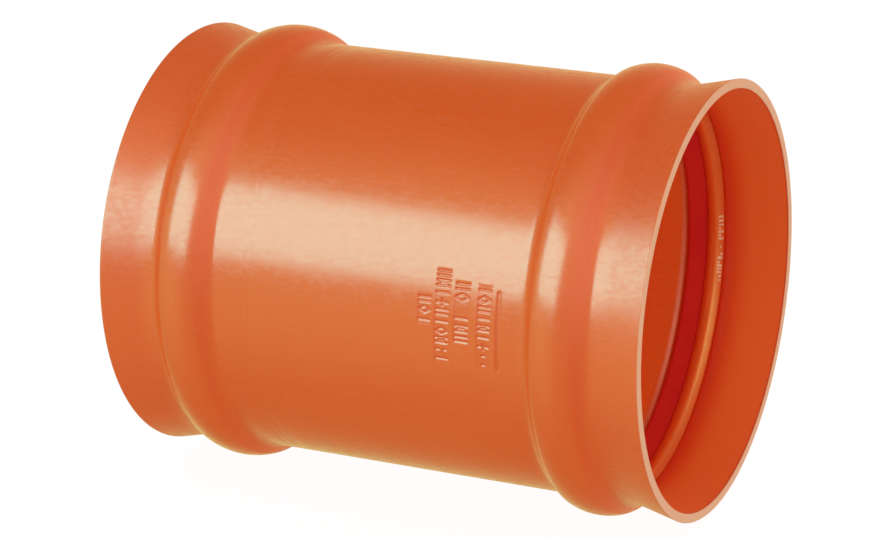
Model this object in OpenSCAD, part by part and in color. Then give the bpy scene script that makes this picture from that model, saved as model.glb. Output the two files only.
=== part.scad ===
// Slip coupling for two sewer pipes: a plain tube with a flared mouth and a bead at each end.
// Each bead holds a lip seal and the stiff ring that keeps it in its groove.
// The axis runs along X through the origin, and +Z is up. Millimetres.

/* [Pipe] */
// Outside diameter of the pipes that the coupling joins
pipe_d = 160; // [140:1:200]
// Gap all round between the pipe and the bore
bore_gap = 0.4; // [0.3:0.1:0.8]

/* [Tube] */
// Overall length, from rim to rim
length = 230; // [180:1:320]
// Wall thickness
wall = 3.8; // [3:0.1:4.5]

/* [Mouth] */
// Length of the flared lip, from the rim to the straight throat
flare_l = 17; // [14:0.5:19]
// How much wider the rim is than the throat, as a radius
flare_rise = 4.1; // [2:0.1:6]
// Chamfer on both edges of the rim
rim_chamfer = 0.4; // [0.2:0.1:1]

/* [Bead] */
// Distance from the rim to the middle of the bead
bead_place = 35.5; // [34.5:0.5:45]
// Height of the bead above the plain tube
bead_h = 6.4; // [6:0.1:8]
// Radius of the crest, outside
crest_r = 18.5; // [16:0.5:22]
// Radius of the shoulders beside the crest, outside
shoulder_r = 5; // [4.8:0.1:7]
// Radius of the hollow at the bead's foot, outside
foot_r = 6; // [4:0.5:6]
// Slope of the crest where the shoulder starts
crest_slope = 22; // [18:1:24]
// Steepest slope of the bead's flank
flank_slope = 50; // [46:1:55]
// Width of the far half of the groove, as a share of the width that the bead around it has
groove_share = 0.88; // [0.87:0.01:1]

/* [Seal] */
// How far the lip stands inside the pipe's surface before the pipe spreads it
lip_bite = 1.6; // [1:0.1:2.4]
// Thickness of the lip near its tip
lip_t = 1.8; // [1.4:0.1:2.2]
// Gap between the ring, the seal and the groove that holds them
ring_gap = 0.15; // [0.1:0.05:0.3]

/* [Hidden] */
$fn = 128;

bore_r = pipe_d / 2 + bore_gap;
tube_r = bore_r + wall;
arc_steps = 4;

// Points on an arc about c, at angles from the outward direction towards the far end. The start
// is left out unless first is 0, because the line before it usually ends there.
function arc(c, r, a0, a1, first = 1) =
    [for (i = [first : arc_steps])
        let (a = a0 + (a1 - a0) * i / arc_steps) c + r * [sin(a), cos(a)]];

function reversed(points) = [for (i = [len(points) - 1 : -1 : 0]) points[i]];

// Centres of the bead's arcs, as [distance from the bead's middle, height above the tube].
crest_c = [0, bead_h - crest_r];
shoulder_c = crest_c + (crest_r - shoulder_r) * [sin(crest_slope), cos(crest_slope)];
shoulder_end = shoulder_c + shoulder_r * [sin(flank_slope), cos(flank_slope)];
flank_drop = shoulder_end[1] - foot_r * (1 - cos(flank_slope));
flank_end = shoulder_end + flank_drop * [1 / tan(flank_slope), -1];
foot_c = flank_end + foot_r * [sin(flank_slope), cos(flank_slope)];

// Half of the bead, from beside its crest down to its foot. An inset of the wall's thickness
// gives the groove inside it.
function half_bead(inset) =
    concat(
        arc(crest_c, crest_r - inset, 0, crest_slope),
        arc(shoulder_c, shoulder_r - inset, crest_slope, flank_slope),
        arc(foot_c, foot_r + inset, 180 + flank_slope, 180, 0)
    );

// The right end's line from rim to foot of the bead, as [distance from the rim, radius].
// The mouth edge is chamfered outwards or inwards, as the sign of edge says. The far half of the
// bead is narrowed to this share of its width.
function end_line(inset, edge, far_share) =
    let (
        r = tube_r - inset,
        rim_r = r + flare_rise,
        half = half_bead(inset)
    )
    concat(
        [
            [0, rim_r - edge * rim_chamfer],
            [rim_chamfer, rim_r - rim_chamfer * flare_rise / flare_l],
            [flare_l, r]
        ],
        [for (p = reversed(half)) [bead_place - p[0], tube_r + p[1]]],
        [[bead_place, r + bead_h]],
        [for (p = half) [bead_place + far_share * p[0], tube_r + p[1]]]
    );

// From [distance from the rim, radius] to [radius, place along the axis].
function at_right(points) = [for (p = points) [p[1], length / 2 - p[0]]];
function at_left(points) = [for (p = points) [p[1], p[0] - length / 2]];

// Turns an outline of [radius, place along the axis] about the X axis.
module turned(points) {
    rotate([0, 90, 0])
        rotate_extrude()
            polygon(points);
}

// Puts what is drawn for the +X end at either end.
module at_end(side) {
    if (side > 0) children();
    else mirror([1, 0, 0]) children();
}

// Formed tube: flare, throat, bead, plain run, and the same again mirrored.
module coupling_body() {
    outside = end_line(0, 1, 1);
    inside = end_line(wall, -1, groove_share);
    color("#d1602a")
        turned(concat(
            at_right(outside),
            reversed(at_left(outside)),
            at_left(inside),
            reversed(at_right(inside))
        ));
}

// Radius of the groove's roof and of its flank, at a distance from the bead's middle.
function roof_at(d) = tube_r + crest_c[1] + sqrt(pow(crest_r - wall, 2) - d * d);
function flank_at(d) =
    let (p = shoulder_c + (shoulder_r - wall) * [sin(flank_slope), cos(flank_slope)])
    tube_r + p[1] - (d - p[0]) * tan(flank_slope);

// Stiff ring at the mouth side of the groove, with a rounded nose towards the mouth. A name that
// ends in _d is a distance from the bead's middle.
nose_r = 1.7;
nose_d = 3.9;
nose_lift = 0.5; // The nose's innermost line, above the bore
nose_from = 160;
nose_to = 235;
nose_c = [bead_place - nose_d, bore_r + nose_lift + nose_r];
ring_back_lift = 1.9; // The ring's inner edge at its back, above the bore
toe_d = 7.5;
corner_d = 6.3;
roof_steps = [5, 2.5];
flank_gap = ring_gap / cos(flank_slope);
module retaining_ring(side) {
    color("#d9622a")
        at_end(side)
            turned(at_right(concat(
                [
                    [bead_place - toe_d, flank_at(toe_d) - flank_gap],
                    [bead_place - corner_d, flank_at(corner_d) - flank_gap]
                ],
                [for (d = concat(roof_steps, [0])) [bead_place - d, roof_at(d) - ring_gap]],
                [[bead_place, bore_r + ring_back_lift]],
                arc(nose_c, nose_r, nose_from, nose_to, 0)
            )));
}

// Rubber seal behind that ring: a heel against the groove's roof and a lip that leans in.
lip_d = 6;
lip_lean = 40;
lip_c = [bead_place + lip_d, pipe_d / 2 - lip_bite + lip_t / 2];
root_lift = 2.1; // The seal's inner edge beside the ring, above the bore
hinge = [3.6, 2.2]; // Where the lip's back meets the heel: distance, and height above the bore
heel_edge = [4.7, 3.4]; // Inner edge of the heel, measured in the same way
heel_d = 6.1; // Before the groove's share narrows it
heel_slack = 0.4; // Room left between the heel and the groove's flank
module seal(side) {
    color("#8f1a14")
        at_end(side)
            turned(at_right(concat(
                [[bead_place + ring_gap, bore_r + root_lift]],
                arc(lip_c, lip_t / 2, 180 + lip_lean, lip_lean, 0),
                [
                    [bead_place, bore_r] + hinge,
                    [bead_place, bore_r] + heel_edge,
                    [
                        bead_place + groove_share * heel_d,
                        flank_at(heel_d) - flank_gap - heel_slack
                    ]
                ],
                [for (d = roof_steps) [bead_place + groove_share * d, roof_at(d) - ring_gap]],
                [[bead_place + ring_gap, roof_at(ring_gap) - ring_gap]]
            )));
}

coupling_body();
seal(1);  // seal_right
seal(-1);  // seal_left
retaining_ring(1);  // retaining_ring_right
retaining_ring(-1);  // retaining_ring_left
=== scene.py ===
"""Looks of the pipe coupling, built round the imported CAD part.

Outlines are points [u, r] in millimetres: u is the distance from the rim along the axis, and r is
the distance from the axis. They are the outlines of part.scad with finer arcs and rounded corners.
"""

import math
import random

import bpy
import numpy as np
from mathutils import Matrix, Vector


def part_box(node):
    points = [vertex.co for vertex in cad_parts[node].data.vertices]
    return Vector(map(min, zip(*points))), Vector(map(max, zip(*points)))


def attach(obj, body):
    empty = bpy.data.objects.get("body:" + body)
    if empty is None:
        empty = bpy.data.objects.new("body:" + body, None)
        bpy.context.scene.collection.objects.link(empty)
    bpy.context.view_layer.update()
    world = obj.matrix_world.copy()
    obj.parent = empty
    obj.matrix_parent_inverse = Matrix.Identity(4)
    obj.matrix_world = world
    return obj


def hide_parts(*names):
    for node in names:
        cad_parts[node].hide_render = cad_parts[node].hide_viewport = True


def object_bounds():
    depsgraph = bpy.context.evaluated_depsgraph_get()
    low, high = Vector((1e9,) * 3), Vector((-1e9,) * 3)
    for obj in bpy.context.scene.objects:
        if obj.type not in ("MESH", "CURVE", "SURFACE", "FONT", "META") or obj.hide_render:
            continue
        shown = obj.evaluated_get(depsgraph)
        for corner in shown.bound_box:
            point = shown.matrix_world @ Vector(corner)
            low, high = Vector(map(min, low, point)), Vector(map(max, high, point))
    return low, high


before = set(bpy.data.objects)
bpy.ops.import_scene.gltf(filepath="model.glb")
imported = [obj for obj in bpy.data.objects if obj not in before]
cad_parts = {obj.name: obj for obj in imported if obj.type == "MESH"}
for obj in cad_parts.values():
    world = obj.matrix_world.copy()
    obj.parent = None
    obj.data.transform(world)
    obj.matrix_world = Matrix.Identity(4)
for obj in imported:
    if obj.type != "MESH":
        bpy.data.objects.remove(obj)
cad_low, cad_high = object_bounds()

MM = 0.001
SEED = 20

# ---------------------------------------------------------------------------------------------
# Sizes, in millimetres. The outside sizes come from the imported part.

body_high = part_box("coupling_body")[1]
HALF_LENGTH = body_high.x / MM
CREST_R = body_high.z / MM

WALL = 3.8
BEAD_H = 6.4
TUBE_R = CREST_R - BEAD_H
BORE_R = TUBE_R - WALL
FLARE_L = 17.0
FLARE_RISE = 4.1
LEAN = math.atan(FLARE_RISE / FLARE_L)
BEAD_PLACE = 35.5
CREST_BEND = 18.5
SHOULDER_BEND = 5.0
FOOT_BEND = 6.0
CREST_SLOPE = 22.0
FLANK_SLOPE = 50.0
# Width of the groove's far half, as a share of the width of the bead around it.
GROOVE_SHARE = 0.88
# Room between the ring, the seal and the groove.
RING_GAP = 0.06
# The pipe's radius, and how far the relaxed lip stands inside it.
PIPE_R = 80.0
LIP_BITE = 1.6
# The rim's corner: its radius and steps.
RIM_ROUND = 0.45
RIM_STEPS = 4
# Rows behind that corner, in corner radii, and where the even rows of the flare start.
RIM_ROWS = (1.1, 2.4)
FLARE_START = 3.0
# Radius and steps of the bend between the flare and the throat.
THROAT_ROUND = 25.0
THROAT_STEPS = 4
# Two faint lines of the forming tool, beside the left bead, as distances left of the middle.
TOOL_LINES = (50.2, 53.0)
TOOL_LINE_W = 0.5
TOOL_LINE_DEPTH = 0.05
# The outside lies this far inside the CAD part, and it waves by up to twice WAVE further in. Each
# wave: how many times it goes round, its slant along the axis, its start, and its share.
OUTSIDE_INSET = 0.04
WAVE = 0.035
WAVES = [(3, 0.021, 0.7, 0.5), (5, -0.034, 2.1, 0.3), (2, 0.09, 0.0, 0.2)]


def direction(angle):
    """Unit step at an angle from straight outwards towards the far end."""
    a = math.radians(angle)
    return np.array([math.sin(a), math.cos(a)])


def arc(centre, radius, start, end, steps, first=0):
    """Points on an arc. first=1 leaves its start out."""
    turns = np.linspace(start, end, steps + 1)[first:]
    return [np.array(centre) + radius * direction(a) for a in turns]


def line(start, end, steps, first=1):
    """Points on a straight line, without its start unless first is 0."""
    start, end = np.array(start, float), np.array(end, float)
    return [start + (end - start) * i / steps for i in range(first, steps + 1)]


# Centres of the bead's arcs, as [distance from the bead's middle, height above the tube].
crest_c = np.array([0.0, BEAD_H - CREST_BEND])
shoulder_c = crest_c + (CREST_BEND - SHOULDER_BEND) * direction(CREST_SLOPE)
shoulder_end = shoulder_c + SHOULDER_BEND * direction(FLANK_SLOPE)
foot_rise = FOOT_BEND * (1 - math.cos(math.radians(FLANK_SLOPE)))
flank_drop = shoulder_end[1] - foot_rise
flank_end = shoulder_end + flank_drop * np.array([1 / math.tan(math.radians(FLANK_SLOPE)), -1.0])
foot_c = flank_end + FOOT_BEND * direction(FLANK_SLOPE)


def half_bead(inset, steps):
    """Half of the bead from its crest to its foot, as [distance from its middle, height]."""
    crest, shoulder, flank, foot = steps
    points = arc(crest_c, CREST_BEND - inset, 0, CREST_SLOPE, crest)
    points += arc(shoulder_c, SHOULDER_BEND - inset, CREST_SLOPE, FLANK_SLOPE, shoulder, 1)
    foot_arc = arc(foot_c, FOOT_BEND + inset, 180 + FLANK_SLOPE, 180, foot)
    points += line(points[-1], foot_arc[0], flank)[:-1]
    return points + foot_arc


def end_outline(inset, steps, flare_steps, run):
    """One end from beside the rim's corner to the plain run, as [u, r]."""
    r = TUBE_R - inset
    slope = FLARE_RISE / FLARE_L
    reach = THROAT_ROUND * math.tan(LEAN / 2)
    half = half_bead(inset, steps)
    share = GROOVE_SHARE if inset > 0 else 1
    places = [k * RIM_ROUND for k in RIM_ROWS]
    places += list(np.linspace(FLARE_START, FLARE_L - reach, flare_steps))
    points = [np.array([u, r + FLARE_RISE - slope * u]) for u in places]
    start, middle = points[-1], np.array([FLARE_L, r])
    end = np.array([FLARE_L + reach, r])
    for k in range(1, THROAT_STEPS + 1):
        t = k / THROAT_STEPS
        points.append((1 - t) ** 2 * start + 2 * t * (1 - t) * middle + t * t * end)
    points += [np.array([BEAD_PLACE - d, TUBE_R + h]) for d, h in half[:0:-1]]
    points += [np.array([BEAD_PLACE + share * d, TUBE_R + h]) for d, h in half]
    return points + [np.array([u, r]) for u in run]


def rim_corner(r, side):
    """The rim's rounded corner, from its face. side is 1 for the outer edge, -1 for the inner."""
    rise = RIM_ROUND * (1 + side * math.sin(LEAN)) / math.cos(LEAN)
    centre = [RIM_ROUND, r + FLARE_RISE - RIM_ROUND * math.tan(LEAN) - side * rise]
    end = -math.degrees(LEAN) - (0 if side > 0 else 180)
    return arc(centre, RIM_ROUND, -90, end, RIM_STEPS)


def groove_roof(d):
    """Radius of the groove's roof at a distance from the bead's middle."""
    return TUBE_R + crest_c[1] + math.sqrt((CREST_BEND - WALL) ** 2 - d * d)


def groove_flank(d):
    """Radius of the groove's flank at a distance from the bead's middle."""
    d0, h0 = shoulder_c + (SHOULDER_BEND - WALL) * direction(FLANK_SLOPE)
    return TUBE_R + h0 - (d - d0) * math.tan(math.radians(FLANK_SLOPE))


# ---------------------------------------------------------------------------------------------
# Marks pressed into the tube. They stand where the real part's marks are, as generic shapes.

STROKE_W = 0.85
STROKE_BEVEL = 0.5
STROKE_DEPTH = 0.36
# A row's strokes stand in a shallow strip, which has a softer edge and a weaker colour.
STRIP_DEPTH = 0.14
STRIP_BEVEL = 1.4
STRIP_MARGIN = 0.5
STRIP_COLOUR_SHARE = 0.3

# Strokes of each shape, in a box 1 high along the axis and 1 wide round the tube.
SHAPES = {
    "bar": [(0, 0.5, 1, 0.5)],
    "pair": [(0, 0.15, 1, 0.15), (0, 0.85, 1, 0.85)],
    "steps": [(0, 0.1, 1, 0.1), (0.25, 0.5, 0.75, 0.5), (0, 0.9, 1, 0.9)],
    "diamond": [(0.5, 0, 1, 0.5), (1, 0.5, 0.5, 1), (0.5, 1, 0, 0.5), (0, 0.5, 0.5, 0)],
    "dots": [(0.1, 0.5, 0.3, 0.5), (0.7, 0.5, 0.9, 0.5)],
    "dot": [(0.38, 0.5, 0.62, 0.5)],
    "plus": [(0.5, 0, 0.5, 1), (0.05, 0.5, 0.95, 0.5)],
    "gap": [],
}

# Each row: where it is along the axis, its height, where it starts round the tube in degrees, the
# width and pitch of a shape, and its shapes. Rows run down the near side.
MARK_ROWS = [
    (25.9, 4.6, 10.2, 2.6, 4.0, ["pair", "diamond", "bar"]),
    (
        33.2,
        5.0,
        17.6,
        2.5,
        3.75,
        ["pair", "steps", "bar", "plus", "pair", "bar", "diamond", "steps", "dots", "bar"],
    ),
    (41.4, 5.2, 14.8, 2.7, 4.1, ["pair", "diamond", "gap", "bar", "steps", "pair"]),
    (
        50.6,
        4.6,
        14.6,
        2.4,
        3.7,
        ["bar", "diamond", "pair", "bar", "steps", "bar", "plus", "dot", "dot"],
    ),
]
# The line beside the rows: its place along the axis, its upper end in degrees, and its length.
UNDERLINE = (56.4, 13.4, 30.0)
UNDERLINE_W = 1.4
UNDERLINE_BEVEL = 1.3
UNDERLINE_DEPTH = 0.32

# Steps round the axis, and the patch of steps and rows that is split finer to hold the marks.
TURN_STEPS = 240
PATCH_TURNS = (-9, 14)
PATCH_X = (20.0, 60.0)
PATCH_STEP = 2.0
PATCH_FINE_X = 7
PATCH_FINE_A = 8
# A distance beyond any on the part, one that is less than any step, and a least squared length.
FAR = 1e3
CLOSE = 0.01
TINY = 1e-9

# Where the mouth's inside gives way to the bore, behind the ring, and how fast it does. Then how
# fast the painted shade in the corner in front of the ring grows from the flare's end.
MOUTH_END = BEAD_PLACE - 5
MOUTH_FADE = 3.0
CORNER_SHADE_FADE = 9.0


def mark_strokes():
    """Every stroke as (x, s, x, s) in millimetres, with s measured up the near side."""
    strokes = []
    for middle, height, start, width, pitch, shapes in MARK_ROWS:
        top = math.radians(start) * TUBE_R
        for i, shape in enumerate(shapes):
            for x0, s0, x1, s1 in SHAPES[shape]:
                a = (middle + (x0 - 0.5) * height, top - i * pitch - s0 * width)
                b = (middle + (x1 - 0.5) * height, top - i * pitch - s1 * width)
                strokes.append((*a, *b))
    return strokes


def stroke_distance(x, s, strokes):
    """Distance from each point to the nearest stroke."""
    best = np.full(len(x), FAR)
    for x0, s0, x1, s1 in strokes:
        dx, ds = x1 - x0, s1 - s0
        size = max(dx * dx + ds * ds, TINY)
        t = np.clip(((x - x0) * dx + (s - s0) * ds) / size, 0, 1)
        best = np.minimum(best, np.hypot(x - x0 - t * dx, s - s0 - t * ds))
    return best


def strip_distance(x, s):
    """Distance outside the nearest row's sunk strip, which is negative inside it."""
    best = np.full(len(x), FAR)
    for middle, height, start, width, pitch, shapes in MARK_ROWS:
        top = math.radians(start) * TUBE_R
        long = (len(shapes) - 1) * pitch + width
        across = np.abs(x - middle) - height / 2 - STRIP_MARGIN
        along = np.abs(s - top + long / 2) - long / 2 - STRIP_MARGIN
        best = np.minimum(best, np.maximum(across, along))
    return best


def recess(distance, width, bevel):
    """How deep a point lies in a stroke: 1 in its middle, 0 outside it, sloping between."""
    t = np.clip((width / 2 + bevel / 2 - distance) / bevel, 0, 1)
    return t * t * (3 - 2 * t)


def inside_shares(x, outer):
    """How far a point is in the mouth's inside, the bore, and the painted shade by the ring."""
    u = HALF_LENGTH - np.abs(x)
    mouth = np.clip((MOUTH_END - u) / MOUTH_FADE, 0, 1)
    # The corner share is painted shade that darkens the tube in front of the ring.
    corner = mouth * np.clip((u - FLARE_L) / CORNER_SHADE_FADE, 0, 1)
    return [np.where(outer, 0, share) for share in (mouth, 1 - mouth, corner)]


def surface_depth(x, angle):
    """How far the tube's outside lies below the ideal one, and how much of it is a mark."""
    s = angle * TUBE_R
    strokes = recess(stroke_distance(x, s, mark_strokes()), STROKE_W, STROKE_BEVEL)
    strip = recess(strip_distance(x, s), 0, STRIP_BEVEL)
    place, high, span = UNDERLINE
    top = math.radians(high) * TUBE_R
    under = stroke_distance(x, s, [(place, top, place, top - span)])
    line_mark = recess(under, UNDERLINE_W, UNDERLINE_BEVEL)
    depth = STRIP_DEPTH * strip + STROKE_DEPTH * strokes + UNDERLINE_DEPTH * line_mark
    wave = 0
    for turns, slant, begin, share in WAVES:
        wave = wave + share + share * np.sin(turns * angle + slant * x + begin)
    marked = np.maximum(np.maximum(STRIP_COLOUR_SHARE * strip, strokes), line_mark)
    return depth + WAVE * wave + OUTSIDE_INSET, marked


# ---------------------------------------------------------------------------------------------
# Meshes


def finish_mesh(name, points, faces, materials):
    """Makes a smoothly shaded object from points in millimetres."""
    mesh = bpy.data.meshes.new(name)
    mesh.from_pydata((np.array(points) * MM).tolist(), [], faces)
    mesh.validate()
    mesh.shade_smooth()
    obj = bpy.data.objects.new(name, mesh)
    bpy.context.scene.collection.objects.link(obj)
    for material in materials:
        mesh.materials.append(material)
    return obj


def grid_faces(count, steps, hole=()):
    """Quads of a closed turned grid, except those whose [row, column] is in the hole."""
    faces = []
    for i in range(count):
        k = (i + 1) % count
        for j in range(steps):
            if (i, j) not in hole:
                m = (j + 1) % steps
                faces.append([i * steps + j, i * steps + m, k * steps + m, k * steps + j])
    return faces


def turned_points(outline, angles):
    """Points of an outline [x, r] turned about the axis. Angle 0 is the near side, and it rises."""
    x, r = np.array(outline).T
    grid = np.empty((len(x), len(angles), 3))
    grid[:, :, 0] = x[:, None]
    grid[:, :, 1] = -r[:, None] * np.cos(angles)[None, :]
    grid[:, :, 2] = r[:, None] * np.sin(angles)[None, :]
    return grid


def turned(name, outline, material, at=1, steps=TURN_STEPS):
    """A ring turned from a closed outline [u, r]. at is 1 for the +X end, -1 for the other."""
    angles = 2 * math.pi * np.arange(steps) / steps
    shape = [(at * (HALF_LENGTH - u), r) for u, r in outline]
    count = len(shape)
    area = sum(
        shape[i - 1][0] * shape[i][1] - shape[i][0] * shape[i - 1][1] for i in range(count)
    )
    if area < 0:
        shape.reverse()
    points = turned_points(shape, angles).reshape(-1, 3)
    return finish_mesh(name, points, grid_faces(count, steps), [material])


# Steps along the crest, shoulder, flank and foot of the bead and of the groove.
BEAD_STEPS = (6, 5, 2, 6)
GROOVE_STEPS = (5, 3, 1, 5)
FLARE_STEPS = 7
INNER_FLARE_STEPS = 5
# Rows along the plain run: between the patch and the middle, and left of the middle as distances
# from the left rim. Then how many places each half of the inside has from its groove to the middle.
MIDDLE_ROWS = (15, 10, 5, 0)
LEFT_ROWS = (72, 76, 80, 85, 90, 95, 100, 105, 110)
INNER_ROWS = 8
# Rows on the rim's face, as shares of its width.
RIM_FACE_ROWS = (0.15, 0.5, 0.85)


def body_outline():
    """The tube's closed outline [x, r], and how many of its first points are on the outside."""
    foot = BEAD_PLACE + foot_c[0]
    tool_lines = [
        HALF_LENGTH - place + k * TOOL_LINE_W / 2 for place in TOOL_LINES for k in range(-2, 3)
    ]
    edge = HALF_LENGTH - PATCH_X[1]
    start = [(foot + edge) / 2]
    patch = np.arange(PATCH_X[0], PATCH_X[1] + PATCH_STEP / 2, PATCH_STEP)
    right_run = start + [HALF_LENGTH - x for x in (*patch[::-1], *MIDDLE_ROWS)]
    left_run = sorted(start + tool_lines + [edge, *LEFT_ROWS])
    right = end_outline(0, BEAD_STEPS, FLARE_STEPS, right_run)
    left = end_outline(0, BEAD_STEPS, FLARE_STEPS, left_run)
    outside = [(HALF_LENGTH - u, r) for u, r in right]
    outside += [(u - HALF_LENGTH, r) for u, r in left[::-1]]
    inner_foot = BEAD_PLACE + GROOVE_SHARE * foot_c[0]
    inner_run = list(np.linspace(inner_foot, HALF_LENGTH, INNER_ROWS)[1:])
    inner = end_outline(WALL, GROOVE_STEPS, INNER_FLARE_STEPS, inner_run)
    inside = [(u - HALF_LENGTH, r) for u, r in inner]
    inside += [(HALF_LENGTH - u, r) for u, r in inner[-2::-1]]
    outer_corner = rim_corner(TUBE_R, 1)
    inner_corner = rim_corner(BORE_R, -1)
    right_outer = [(HALF_LENGTH - u, r) for u, r in outer_corner]
    left_outer = [(u - HALF_LENGTH, r) for u, r in outer_corner[::-1]]
    left_inner = [(u - HALF_LENGTH, r) for u, r in inner_corner]
    right_inner = [(HALF_LENGTH - u, r) for u, r in inner_corner[::-1]]
    face = [outer_corner[0] * (1 - t) + inner_corner[0] * t for t in RIM_FACE_ROWS]
    left_face = [(u - HALF_LENGTH, r) for u, r in face]
    right_face = [(HALF_LENGTH - u, r) for u, r in face[::-1]]
    outline = right_outer + outside + left_outer + left_face + left_inner + inside + right_inner
    outline += right_face
    return outline, len(right_outer) + len(outside) + len(left_outer)


def build_body(material):
    """The tube, with a finer patch for the marks stitched into it edge by edge."""
    outline, outer_count = body_outline()
    outline = np.array(outline)
    count = len(outline)
    steps = TURN_STEPS
    first, last = PATCH_TURNS
    angles = 2 * math.pi * (np.arange(steps) + first) / steps
    columns = last - first
    on_patch = [
        i
        for i in range(outer_count)
        if PATCH_X[0] - CLOSE <= outline[i][0] <= PATCH_X[1] + CLOSE
    ]
    top, bottom = on_patch[0], on_patch[-1]
    rows = bottom - top
    hole = {(i, j) for i in range(top, bottom) for j in range(columns)}
    x, r = outline[:, 0], outline[:, 1]
    all_x = np.repeat(x, steps)
    all_r = np.repeat(r, steps)
    all_a = np.tile(angles, count)
    fine_rows, fine_columns = rows * PATCH_FINE_X, columns * PATCH_FINE_A
    patch_x = np.interp(
        np.arange(fine_rows + 1) / PATCH_FINE_X, np.arange(rows + 1), x[top : bottom + 1]
    )
    patch_a = angles[0] + (angles[1] - angles[0]) * np.arange(fine_columns + 1) / PATCH_FINE_A
    index = {}
    extra = []
    for p in range(fine_rows + 1):
        for q in range(fine_columns + 1):
            if p % PATCH_FINE_X == 0 and q % PATCH_FINE_A == 0:
                i, j = top + p // PATCH_FINE_X, q // PATCH_FINE_A
                if p in (0, fine_rows) or q in (0, fine_columns):
                    index[p, q] = i * steps + j
                    continue
            index[p, q] = count * steps + len(extra)
            extra.append((patch_x[p], TUBE_R, patch_a[q]))
    extra = np.array(extra)
    all_x = np.concatenate([all_x, extra[:, 0]])
    all_r = np.concatenate([all_r, extra[:, 1]])
    all_a = np.concatenate([all_a, extra[:, 2]])
    outer = np.zeros(len(all_x), bool)
    outer[: outer_count * steps] = True
    outer[count * steps :] = True
    wrapped = (all_a + math.pi) % (2 * math.pi) - math.pi
    depth, marked = surface_depth(all_x, wrapped)
    for place in TOOL_LINES:
        off = np.abs(all_x + place)
        depth = depth + TOOL_LINE_DEPTH * np.clip(1 - off / TOOL_LINE_W, 0, 1)
    all_r = np.where(outer, all_r - depth, all_r)
    marked = np.where(outer, marked, 0)
    points = np.stack([all_x, -all_r * np.cos(all_a), all_r * np.sin(all_a)], axis=1)
    faces = stitch(grid_faces(count, steps, hole), top, bottom, columns, steps, index)
    for p in range(fine_rows):
        for q in range(fine_columns):
            faces.append([index[p, q], index[p, q + 1], index[p + 1, q + 1], index[p + 1, q]])
    used = np.zeros(len(points), bool)
    for face in faces:
        used[face] = True
    new_index = np.cumsum(used) - 1
    faces = [[int(new_index[v]) for v in face] for face in faces]
    obj = finish_mesh("coupling_tube", points[used], faces, [material])
    # The mark share, and the inside shares, which also carry painted shade and light into the
    # colour.
    shares = [marked, *inside_shares(all_x, outer)]
    for name, values in zip(("mark", "mouth", "bore", "corner"), shares):
        attribute = obj.data.attributes.new(name, "FLOAT", "POINT")
        attribute.data.foreach_set("value", values[used].astype(np.float32))
    return obj


def stitch(faces, top, bottom, columns, steps, index):
    """Puts the fine patch's edge points into the faces beside it, so that no seam is open."""
    between = {}
    rows = bottom - top
    for j in range(columns):
        for p, i in ((0, top), (rows * PATCH_FINE_X, bottom)):
            a, b = i * steps + j, i * steps + j + 1
            inner = [index[p, j * PATCH_FINE_A + k] for k in range(1, PATCH_FINE_A)]
            between[a, b], between[b, a] = inner, inner[::-1]
    for i in range(rows):
        for q, j in ((0, 0), (columns * PATCH_FINE_A, columns)):
            a, b = (top + i) * steps + j, (top + i + 1) * steps + j
            inner = [index[i * PATCH_FINE_X + k, q] for k in range(1, PATCH_FINE_X)]
            between[a, b], between[b, a] = inner, inner[::-1]
    stitched = []
    for face in faces:
        whole = []
        for a, b in zip(face, face[1:] + face[:1]):
            whole.append(a)
            whole += between.get((a, b), [])
        stitched.append(whole)
    return stitched


# ---------------------------------------------------------------------------------------------
# Materials


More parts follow.
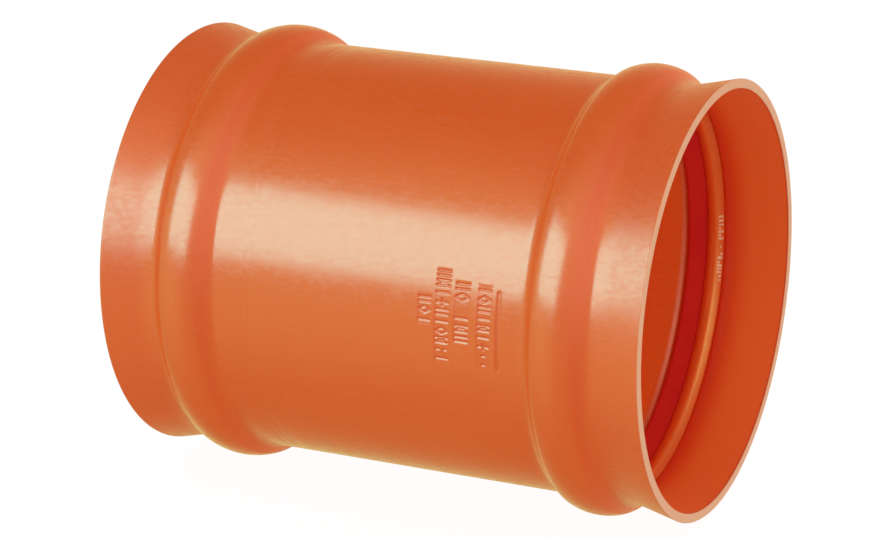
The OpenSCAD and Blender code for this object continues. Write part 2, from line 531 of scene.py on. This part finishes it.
class Shader:
    """A material's node tree, with short calls for the nodes that this file uses."""

    def __init__(self, name):
        self.material = bpy.data.materials.new(name)
        self.material.use_nodes = True
        self.tree = self.material.node_tree
        self.tree.nodes.clear()
        self.surface = self.tree.nodes.new("ShaderNodeBsdfPrincipled")
        output = self.tree.nodes.new("ShaderNodeOutputMaterial")
        self.tree.links.new(self.surface.outputs["BSDF"], output.inputs["Surface"])
        self.coordinates = self.tree.nodes.new("ShaderNodeTexCoord").outputs["Object"]

    def put(self, value, socket):
        """Links a socket, or sets a plain value."""
        if isinstance(value, bpy.types.NodeSocket):
            self.tree.links.new(value, socket)
        else:
            socket.default_value = value

    def math(self, operation, *values, clamp=False):
        node = self.tree.nodes.new("ShaderNodeMath")
        node.operation = operation
        node.use_clamp = clamp
        for value, socket in zip(values, node.inputs):
            self.put(value, socket)
        return node.outputs[0]

    def stretched(self, scale, turn=(0, 0, 0)):
        """Object coordinates scaled by this much along each axis."""
        node = self.tree.nodes.new("ShaderNodeMapping")
        self.put(self.coordinates, node.inputs["Vector"])
        node.inputs["Scale"].default_value = scale
        node.inputs["Rotation"].default_value = turn
        return node.outputs[0]

    def noise(self, scale, detail, turn=(0, 0, 0)):
        """Noise with this many features a metre along each axis."""
        node = self.tree.nodes.new("ShaderNodeTexNoise")
        self.put(self.stretched(scale, turn), node.inputs["Vector"])
        node.inputs["Scale"].default_value = 1.0
        node.inputs["Detail"].default_value = detail
        node.inputs["Roughness"].default_value = 0.5
        return node.outputs["Fac"]

    def ramp(self, value, low, high, to_low=0.0, to_high=1.0):
        """Maps low..high to to_low..to_high, smoothly, and no further."""
        node = self.tree.nodes.new("ShaderNodeMapRange")
        node.interpolation_type = "SMOOTHSTEP"
        for name, number in (("Value", value), ("From Min", low), ("From Max", high)):
            self.put(number, node.inputs[name])
        node.inputs["To Min"].default_value = to_low
        node.inputs["To Max"].default_value = to_high
        return node.outputs[0]

    def mix(self, share, a, b):
        node = self.tree.nodes.new("ShaderNodeMix")
        node.data_type = "RGBA"
        self.put(share, node.inputs[0])
        self.put(a if isinstance(a, bpy.types.NodeSocket) else (*a, 1), node.inputs[6])
        self.put(b if isinstance(b, bpy.types.NodeSocket) else (*b, 1), node.inputs[7])
        return node.outputs[2]

    def bump(self, height, distance, strength=1.0, under=None):
        node = self.tree.nodes.new("ShaderNodeBump")
        node.inputs["Strength"].default_value = strength
        node.inputs["Distance"].default_value = distance
        self.put(height, node.inputs["Height"])
        if under is not None:
            self.put(under, node.inputs["Normal"])
        return node.outputs[0]

    def attribute(self, name):
        node = self.tree.nodes.new("ShaderNodeAttribute")
        node.attribute_name = name
        return node.outputs["Fac"]

    def near_rim(self, full, none):
        """1 up to a distance from either rim, in millimetres, fading to 0 at a further one."""
        node = self.tree.nodes.new("ShaderNodeSeparateXYZ")
        self.put(self.coordinates, node.inputs[0])
        along = self.math("ABSOLUTE", node.outputs[0])
        return self.ramp(along, (HALF_LENGTH - none) * MM, (HALF_LENGTH - full) * MM)

    def set(self, **values):
        """Sets or links inputs of the surface by name, with _ for a space."""
        for name, value in values.items():
            socket = self.surface.inputs[name.replace("_", " ")]
            if isinstance(value, tuple) and len(value) == 3:
                value = (*value, 1)
            self.put(value, socket)


# Colours of the tube: its wall from deep to bright, its drawn lines, its rubs, the mouth's inside
# with painted shade, the bore with painted light, the painted shade of the corner in front of the
# ring, the pressed marks, and the sawn rim, paler partly of its own and partly by painted light.
PVC_DEEP = (0.915, 0.12, 0.011)
PVC_BRIGHT = (0.93, 0.132, 0.0135)
PVC_STREAK = (0.94, 0.15, 0.018)
PVC_RUB = (0.92, 0.24, 0.05)
PVC_MOUTH_SHADED = (0.935, 0.122, 0.003)
PVC_BORE_LIT = (0.97, 0.168, 0.024)
PVC_CORNER_SHADE = (0.86, 0.06, 0.004)
PVC_MARK = (0.86, 0.09, 0.009)
SAWN_AND_LIT_DEEP = (1.0, 0.47, 0.245)
SAWN_AND_LIT_PALE = (1.0, 0.55, 0.33)
# Distances from the rim between which the sawn face and the flare's rougher skin fade out.
SAWN_FADE = (0.3, 0.55)
FLARE_FADE = (13, 26)


def pvc_material():
    """Orange rigid PVC: satin, drawn along its axis, with fine rubs, painted shade and light
    inside, and a paler sawn rim that is partly painted light.
    """
    m = Shader("orange_pvc")
    broad = m.noise((9, 26, 26), 2)
    streak = m.noise((110, 850, 850), 3)
    mottle = m.noise((330, 720, 720), 2)
    fine = m.noise((700, 700, 700), 3)
    rub = m.noise((60, 1500, 1500), 1, turn=(0, 0.1, 0.35))
    rub = m.ramp(rub, 0.66, 0.76)
    colour = m.mix(m.ramp(broad, 0.3, 0.7), PVC_DEEP, PVC_BRIGHT)
    colour = m.mix(m.ramp(streak, 0.35, 0.75, 0, 0.22), colour, PVC_STREAK)
    colour = m.mix(m.math("MULTIPLY", rub, 0.18), colour, PVC_RUB)
    mark = m.attribute("mark")
    mouth = m.attribute("mouth")
    bore = m.attribute("bore")
    # Painted shade and light: the mouth's inside gets a redder, shaded copy of the colour, and the
    # bore gets a paler, lit copy.
    colour = m.mix(mouth, colour, PVC_MOUTH_SHADED)
    colour = m.mix(bore, colour, PVC_BORE_LIT)
    # Painted shade: a darker red in the corner in front of the ring.
    colour = m.mix(m.attribute("corner"), colour, PVC_CORNER_SHADE)
    colour = m.mix(m.math("MULTIPLY", mark, 0.6), colour, PVC_MARK)
    # The sawn rim's pale tone is partly the cut's own and partly a painted highlight on its face.
    cut = m.near_rim(*SAWN_FADE)
    sawn = m.noise((200, 1300, 160), 2, turn=(0.6, 0, 0))
    colour = m.mix(cut, colour, m.mix(m.ramp(sawn, 0.3, 0.7), SAWN_AND_LIT_DEEP, SAWN_AND_LIT_PALE))
    flare = m.near_rim(*FLARE_FADE)
    roughness = m.ramp(streak, 0.3, 0.7, 0.22, 0.26)
    roughness = m.math("ADD", roughness, m.ramp(mottle, 0.3, 0.7, -0.06, 0.06))
    for share, more in ((rub, 0.1), (mark, 0.05), (cut, 0.2), (mouth, 0.35), (flare, 0.08)):
        roughness = m.math("ADD", roughness, m.math("MULTIPLY", share, more))
    outside = m.math("SUBTRACT", 1.0, m.math("ADD", mouth, bore), clamp=True)
    normal = m.bump(m.math("MULTIPLY", streak, outside), 0.00002, 0.06)
    normal = m.bump(fine, 0.00001, 0.15, normal)
    normal = m.bump(m.math("MULTIPLY", sawn, cut), 0.0001, 0.6, normal)
    m.set(Base_Color=colour, Roughness=roughness, Normal=normal, IOR=1.5)
    return m.material


def ring_material():
    """Orange polypropylene, a little smoother than the tube, with faint turned lines."""
    m = Shader("ring_polypropylene")
    broad = m.noise((30, 30, 30), 2)
    lines = m.noise((2600, 20, 20), 2)
    fine = m.noise((500, 500, 500), 2)
    colour = m.mix(m.ramp(broad, 0.3, 0.7), (0.92, 0.135, 0.016), (0.94, 0.155, 0.022))
    roughness = m.ramp(fine, 0.3, 0.7, 0.38, 0.45)
    normal = m.bump(lines, 0.00002, 0.35)
    m.set(Base_Color=colour, Roughness=roughness, Normal=normal, IOR=1.49)
    m.set(Specular_Tint=(1.0, 0.85, 0.4))
    return m.material


def rubber_material():
    """Dark red rubber, duller, with a fine skin and a little bloom."""
    m = Shader("seal_rubber")
    broad = m.noise((60, 60, 60), 3)
    skin = m.noise((1600, 1600, 1600), 3)
    colour = m.mix(m.ramp(broad, 0.3, 0.75), (0.68, 0.018, 0.013), (0.72, 0.024, 0.016))
    roughness = m.ramp(skin, 0.3, 0.7, 0.42, 0.52)
    normal = m.bump(skin, 0.00003, 0.4)
    m.set(Base_Color=colour, Roughness=roughness, Normal=normal, Specular_IOR_Level=0.03)
    return m.material


def ink_material():
    """Pale ink of the ring's printed ticks, a little patchy."""
    m = Shader("pale_ink")
    patch = m.noise((2500, 2500, 2500), 2)
    colour = m.mix(m.ramp(patch, 0.35, 0.7), (1.0, 0.66, 0.38), (1.0, 0.52, 0.28))
    m.set(Base_Color=colour, Roughness=m.ramp(patch, 0.3, 0.7, 0.4, 0.55))
    return m.material


# ---------------------------------------------------------------------------------------------
# The retaining ring and the seal behind it

# A pair of small numbers is a distance behind the bead's middle and a height above the bore, but
# the ring's back starts at a drop below the groove's roof. A name that ends in _D is a distance
# from the bead's middle.
FLANK_GAP = RING_GAP / math.cos(math.radians(FLANK_SLOPE))
NOSE_R = 1.7
NOSE_D = 3.9
NOSE_LIFT = 0.5
NOSE_C = (BEAD_PLACE - NOSE_D, BORE_R + NOSE_LIFT + NOSE_R)
NOSE_ARC = (156, 237)
TOE_D = 7.5
RING_CORNER_D = 6.3
RING_ROOF_D = (5.3, 4.0, 2.6, 1.3, 0.4)
RING_BACK_TOP = (-0.1, 0.3)
RING_BACK = (-0.05, 2.5)
RING_BACK_EDGE = (-0.15, 2.1)
TOE = (BEAD_PLACE - TOE_D, groove_flank(TOE_D) - FLANK_GAP)

LIP_R = 0.9
LIP_D = 6.0
LIP_C = (BEAD_PLACE + LIP_D, PIPE_R - LIP_BITE + LIP_R)
LIP_ARC = (220, 40)
SEAL_ROOT_LIFT = 2.1
SEAL_ROOT_CHAMFER = (0.15, -0.1)
SEAL_INSIDE = [(3.75, 2.15), (4.3, 2.9), (4.7, 3.4), (5.2, 4.0)]
SEAL_ROOF_D = (5.2, 4.0, 2.6, 1.3)
HEEL_D = 6.1
HEEL_SLACK = 0.4


def from_bead(d, height):
    """[u, r] of a point this far behind the bead's middle, and this high above the bore."""
    return np.array([BEAD_PLACE + d, BORE_R + height])


def ring_outline():
    """The retaining ring: toe on the groove's flank, back against the roof, nose inwards."""
    corner = (BEAD_PLACE - RING_CORNER_D, groove_flank(RING_CORNER_D) - FLANK_GAP)
    points = [np.array(TOE)] + line(TOE, corner, 3)
    points += [np.array([BEAD_PLACE - d, groove_roof(d) - RING_GAP]) for d in RING_ROOF_D]
    d, drop = RING_BACK_TOP
    points += [np.array([BEAD_PLACE + d, groove_roof(0) - RING_GAP - drop])]
    points += line(points[-1], from_bead(*RING_BACK), 3)
    points += [from_bead(*RING_BACK_EDGE)]
    points += arc(NOSE_C, NOSE_R, *NOSE_ARC, 9)
    return points + line(points[-1], TOE, 6)[:-1]


def seal_outline():
    """The seal: a heel against the groove's roof, and a lip that leans in with a round tip."""
    root = from_bead(RING_GAP, SEAL_ROOT_LIFT)
    lip = arc(LIP_C, LIP_R, *LIP_ARC, 9)
    points = line((root[0], groove_roof(0) - RING_GAP), root, 4, 0)
    points += [root + SEAL_ROOT_CHAMFER]
    points += line(points[-1], lip[0], 5)[:-1] + lip
    points += [from_bead(*point) for point in SEAL_INSIDE]
    heel_top = groove_flank(HEEL_D) - FLANK_GAP - HEEL_SLACK
    points += [np.array([BEAD_PLACE + GROOVE_SHARE * HEEL_D, heel_top])]
    for d in SEAL_ROOF_D:
        points.append(np.array([BEAD_PLACE + GROOVE_SHARE * d, groove_roof(d) - RING_GAP]))
    return points


# Printed ticks: their two groups and the dash between as places round the ring in degrees, and
# their widths, pitches and reaches across the ring's front face, which are drawn at random.
TICK_GROUPS = ((6.3, -1.0), (-5.2, -13.2))
TICK_REACHES = [(0.22, 0.97), (0.22, 0.97), (0.22, 0.6), (0.6, 0.97)]
TICK_WIDTHS = [0.8, 1.0, 1.2]
TICK_PITCHES = [1.0, 1.1, 1.3]
DASH_TURN = -3.1
DASH_W = 1.2
DASH_REACH = (0.45, 0.62)
# Each tick is a thin block from below the ring's face to above it.
TICK_LIFTS = (-0.02, 0.05)
BLOCK_QUADS = [(0, 1, 3, 2), (4, 6, 7, 5), (0, 4, 5, 1), (2, 3, 7, 6), (0, 2, 6, 4), (1, 5, 7, 3)]


def print_ticks(name, at):
    """Printed ticks on the ring's front face, in two groups with a dash between."""
    draw = random.Random(SEED)
    front_end = np.array(NOSE_C) + NOSE_R * direction(NOSE_ARC[1])
    slope = front_end - np.array(TOE)
    out = np.array([slope[1], -slope[0]]) / np.linalg.norm(slope)
    if out[1] > 0:
        out = -out
    points, faces = [], []

    def tick(start, width, low, high):
        base = len(points)
        radius = TOE[1] + slope[1] * (low + high) / 2
        half = width / 2 / radius
        for lift in TICK_LIFTS:
            for share in (low, high):
                u, r = np.array(TOE) + slope * share + out * lift
                for turn in (start - half, start + half):
                    x = at * (HALF_LENGTH - u)
                    points.append((x, r * math.cos(turn), r * math.sin(turn)))
        for quad in BLOCK_QUADS:
            corners = [base + k for k in quad]
            faces.append(corners if at > 0 else corners[::-1])

    for turn, end in TICK_GROUPS:
        while turn > end:
            low, high = draw.choice(TICK_REACHES)
            tick(math.radians(turn), draw.choice(TICK_WIDTHS), low, high)
            turn -= draw.choice(TICK_PITCHES)
    tick(math.radians(DASH_TURN), DASH_W, *DASH_REACH)
    obj = finish_mesh(name, points, faces, [ink])
    obj.data.shade_flat()
    return obj


# ---------------------------------------------------------------------------------------------
# The pieces

pvc = pvc_material()
ring_plastic = ring_material()
rubber = rubber_material()
ink = ink_material()

tube = build_body(pvc)
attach(tube, "root")
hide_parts("coupling_body")

for end_name, at in (("right", 1), ("left", -1)):
    ring = turned("ring_" + end_name, ring_outline(), ring_plastic, at)
    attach(ring, "root")
    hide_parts("retaining_ring_" + end_name)
    seal = turned("lip_seal_" + end_name, seal_outline(), rubber, at)
    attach(seal, "root")
    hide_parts("seal_" + end_name)
    ticks = print_ticks("ring_ticks_" + end_name, at)
    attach(ticks, "root")

# ---------------------------------------------------------------------------------------------
# Stage: a plain pale floor, softboxes and an even surround


def aim(obj, place, target):
    """Puts an object at a place, with its -Z towards the target and level."""
    obj.location = place
    obj.rotation_mode = "QUATERNION"
    obj.rotation_quaternion = (Vector(target) - Vector(place)).to_track_quat("-Z", "Y")


def toward(azimuth, elevation):
    """Direction from the object. Azimuth 0 is -Y, the near side, and 90 is +X."""
    a, e = math.radians(azimuth), math.radians(elevation)
    return Vector((math.sin(a) * math.cos(e), -math.cos(a) * math.cos(e), math.sin(e)))


def softbox(name, azimuth, elevation, distance, width, height, radiance, tint):
    """A rectangular lamp that shows in gloss only, so that the even surround does the shading."""
    data = bpy.data.lights.new(name, "AREA")
    data.shape = "RECTANGLE"
    data.size = width
    data.size_y = height
    data.energy = radiance * math.pi * width * height
    data.color = tint
    obj = bpy.data.objects.new(name, data)
    bpy.context.scene.collection.objects.link(obj)
    aim(obj, toward(azimuth, elevation) * distance, (0, 0, 0))
    obj.visible_diffuse = False
    obj.visible_camera = False
    return obj


# Azimuth and elevation, distance, width, height, radiance and tint.
softbox("softbox_left", -28.3, 23.2, 1.3, 1.22, 0.8, 9.6, (0.34, 1.0, 0.84))
right_box = softbox("softbox_right", 89, 9, 1.3, 0.86, 0.7, 12.0, (0.5, 1.0, 0.7))

# The right softbox lights the rings alone, because the smooth tube would mirror it as plain white
# when it is seen from the left end.
ring_lit = bpy.data.collections.new("ring_lit")
for name in ("ring_right", "ring_left", "ring_ticks_right", "ring_ticks_left"):
    ring_lit.objects.link(bpy.data.objects[name])
right_box.light_linking.receiver_collection = ring_lit

# The floor is for the camera alone: it glows nearly white, so that only a faint shadow shows on it.
FLOOR_HALF = 12.0
FLOOR_GLOW = 0.955
corners = [(-1, -1), (1, -1), (1, 1), (-1, 1)]
floor_points = [(a * FLOOR_HALF, b * FLOOR_HALF, cad_low.z) for a, b in corners]
floor_mesh = bpy.data.meshes.new("floor")
floor_mesh.from_pydata(floor_points, [], [(0, 1, 2, 3)])
floor = bpy.data.objects.new("floor", floor_mesh)
bpy.context.scene.collection.objects.link(floor)
floor.visible_diffuse = False
floor.visible_glossy = False
floor_shader = Shader("floor_white")
floor_tone = floor_shader.ramp(floor_shader.noise((3, 3, 3), 2), 0.2, 0.8, 0.88, 0.9)
floor_colour = floor_shader.mix(floor_tone, (0, 0, 0), (0.11, 0.11, 0.11))
floor_shader.set(Base_Color=floor_colour, Roughness=0.9, Specular_IOR_Level=0.0)
floor_shader.set(Emission_Color=(1.0, 1.0, 1.0), Emission_Strength=FLOOR_GLOW)
floor_mesh.materials.append(floor_shader.material)

# The surround: even for diffuse light, white for the camera, and for gloss a dark room with a few
# soft glows.
DIFFUSE_LEVEL = 0.708
CAMERA_LEVEL = 1.05
ROOM = (0.02, 0.02, 0.01)
FRONT = (0.62, 1.0, 0.4)
BACK = (1.0, 0.52, 0.32)
SIDE = (0.9, 1.0, 0.82)
# Glows: direction as azimuth and elevation, brightness, how tight it is, and its tint.
GLOWS = [
    (44, 32, 2.4, 4.0, SIDE),
    (-22, 42, 2.0, 9.0, FRONT),
    (-34, -14, 2.1, 6.0, FRONT),
    (-70, 8, 1.4, 9.0, FRONT),
    (-125, -15, 1.5, 6.0, FRONT),
    (88, 9, 1.8, 14.0, SIDE),
    (-165, 8, 0.25, 8.0, BACK),
    (155, -10, 1.4, 4.0, BACK),
    (20, -50, 0.4, 2.5, FRONT),
    (10, 70, 0.25, 5.0, FRONT),
]

world = bpy.data.worlds.new("studio")
bpy.context.scene.world = world
world.use_nodes = True
world.cycles.sampling_method = "NONE"
tree = world.node_tree
tree.nodes.clear()


def world_node(kind, values, **settings):
    """Makes a node, with its inputs by number, each a plain value or a socket to link."""
    node = tree.nodes.new(kind)
    for name, setting in settings.items():
        setattr(node, name, setting)
    for number, value in values.items():
        if isinstance(value, bpy.types.NodeSocket):
            tree.links.new(value, node.inputs[number])
        else:
            node.inputs[number].default_value = value
    return node


def world_math(operation, a, b=0.0):
    return world_node("ShaderNodeMath", {0: a, 1: b}, operation=operation).outputs[0]


def world_mix(share, a, b):
    """Mixes two values of three numbers each."""
    return world_node("ShaderNodeMix", {0: share, 4: a, 5: b}, data_type="VECTOR").outputs[1]


gloss = ROOM
way = tree.nodes.new("ShaderNodeTexCoord").outputs["Generated"]
for azimuth, elevation, strength, tightness, tint in GLOWS:
    ends = {0: way, 1: toward(azimuth, elevation)}
    dot = world_node("ShaderNodeVectorMath", ends, operation="DOT_PRODUCT").outputs["Value"]
    fall = world_math("MULTIPLY", world_math("SUBTRACT", dot, 1.0), tightness)
    share = world_math("EXPONENT", fall)
    parts = {0: Vector(tint) * strength, 1: share, 2: gloss}
    gloss = world_node("ShaderNodeVectorMath", parts, operation="MULTIPLY_ADD").outputs[0]
ray = tree.nodes.new("ShaderNodeLightPath")
colour = world_mix(ray.outputs["Is Glossy Ray"], (DIFFUSE_LEVEL,) * 3, gloss)
colour = world_mix(ray.outputs["Is Camera Ray"], colour, (CAMERA_LEVEL,) * 3)
background = world_node("ShaderNodeBackground", {0: colour, 1: 1.0})
output = tree.nodes.new("ShaderNodeOutputWorld")
tree.links.new(background.outputs[0], output.inputs["Surface"])

# ---------------------------------------------------------------------------------------------
# Camera, at the photograph's angle: its place, where it looks, and its lens in millimetres

CAMERA_PLACE = (0.5006, -1.0914, 0.3798)
CAMERA_WAY = (-0.40032, 0.86474, -0.30325)
CAMERA_LENS = 125.2

camera_data = bpy.data.cameras.new("camera")
camera_data.sensor_width = 36.0
camera_data.lens = CAMERA_LENS
camera = bpy.data.objects.new("camera", camera_data)
bpy.context.scene.collection.objects.link(camera)
aim(camera, CAMERA_PLACE, Vector(CAMERA_PLACE) + Vector(CAMERA_WAY))
bpy.context.scene.camera = camera
bpy.context.scene.view_settings.view_transform = "Standard"
